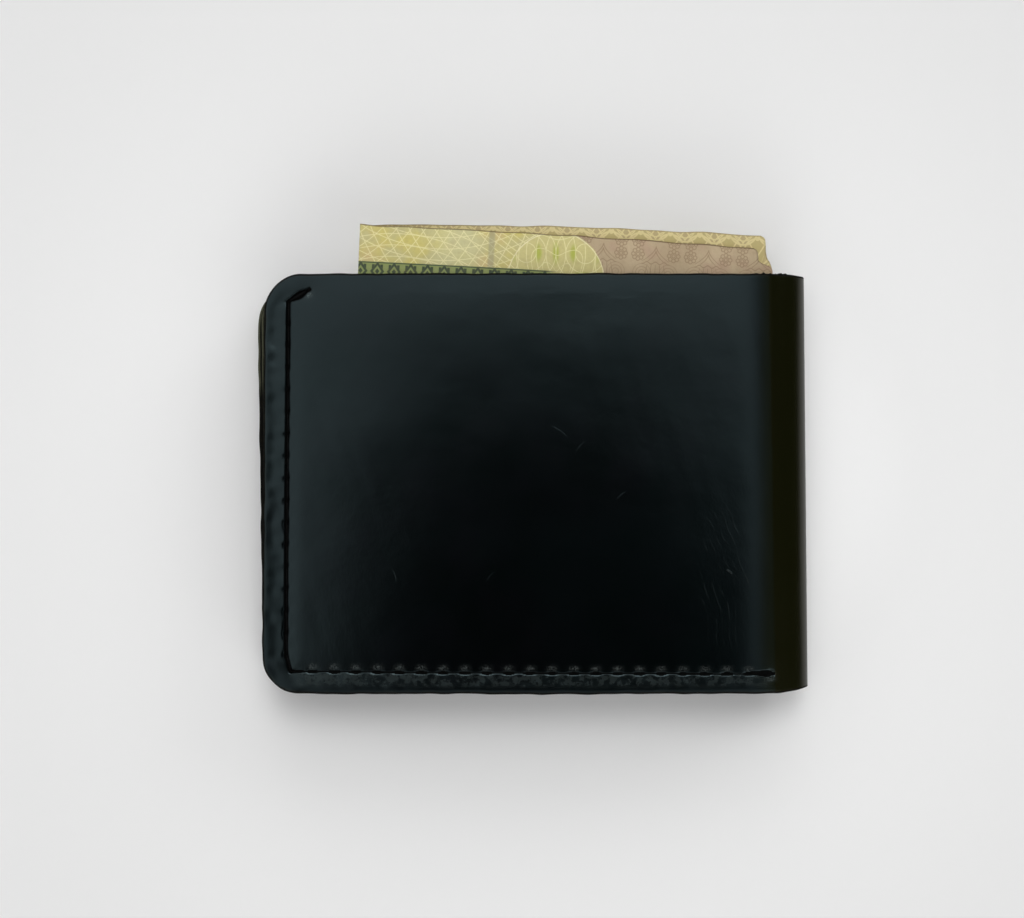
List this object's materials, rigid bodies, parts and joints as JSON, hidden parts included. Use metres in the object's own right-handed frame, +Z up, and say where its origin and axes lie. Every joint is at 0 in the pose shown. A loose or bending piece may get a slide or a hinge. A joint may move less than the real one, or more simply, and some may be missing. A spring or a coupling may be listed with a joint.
{
  "type": "bifold wallet",
  "caption": "Folding leather wallet with a bill compartment across both halves, card pockets inside and a folded banknote.",
  "frame": {"origin": "middle of the back cover's outer face, which the closed wallet lies on", "axes": "+X towards the spine, +Y towards the open mouth of the bill compartment, +Z up through the closed wallet"},
  "size_m": [0.1131, 0.0951, 0.015],
  "materials": {
    "cover_leather": "smooth black leather, semi-gloss",
    "pocket_leather": "thin black leather, satin",
    "thread": "waxed black thread",
    "note_paper": "printed cotton paper, matte"
  },
  "bodies": {
    "back_half": {"back_cover": "cover_leather", "back_bill_wall": "pocket_leather", "back_pocket_base": "pocket_leather", "back_upper_card_pocket": "pocket_leather", "back_middle_card_pocket": "pocket_leather", "back_lower_card_pocket": "pocket_leather", "back_seam_thread": "thread", "back_pocket_seam_thread": "thread"},
    "spine": {"spine_cover": "cover_leather", "spine_bill_wall": "pocket_leather"},
    "front_half": {"front_cover": "cover_leather", "front_bill_wall": "pocket_leather", "front_pocket_base": "pocket_leather", "front_upper_card_pocket": "pocket_leather", "front_middle_card_pocket": "pocket_leather", "front_lower_card_pocket": "pocket_leather", "front_seam_thread": "thread", "front_pocket_seam_thread": "thread"},
    "note": {"banknote": "note_paper"}
  },
  "joints": [
    {"name": "spine_fold", "type": "hinge", "parent": "back_half", "child": "spine", "pos_m": [0.0528, 0, 0.0022], "axis": [0, 1, 0], "range_deg": [0, 90]},
    {"name": "cover_fold", "type": "hinge", "parent": "spine", "child": "front_half", "pos_m": [0.0528, 0, 0.0128], "axis": [0, 1, 0], "range_deg": [0, 90]},
    {"name": "note_slide", "type": "slide", "parent": "front_half", "child": "note", "axis": [0, 1, 0], "range_m": [-0.01, 0.065]}
  ],
  "couplings": [
    {"joint": "cover_fold", "follows": "spine_fold", "ratio": 1}
  ]
}
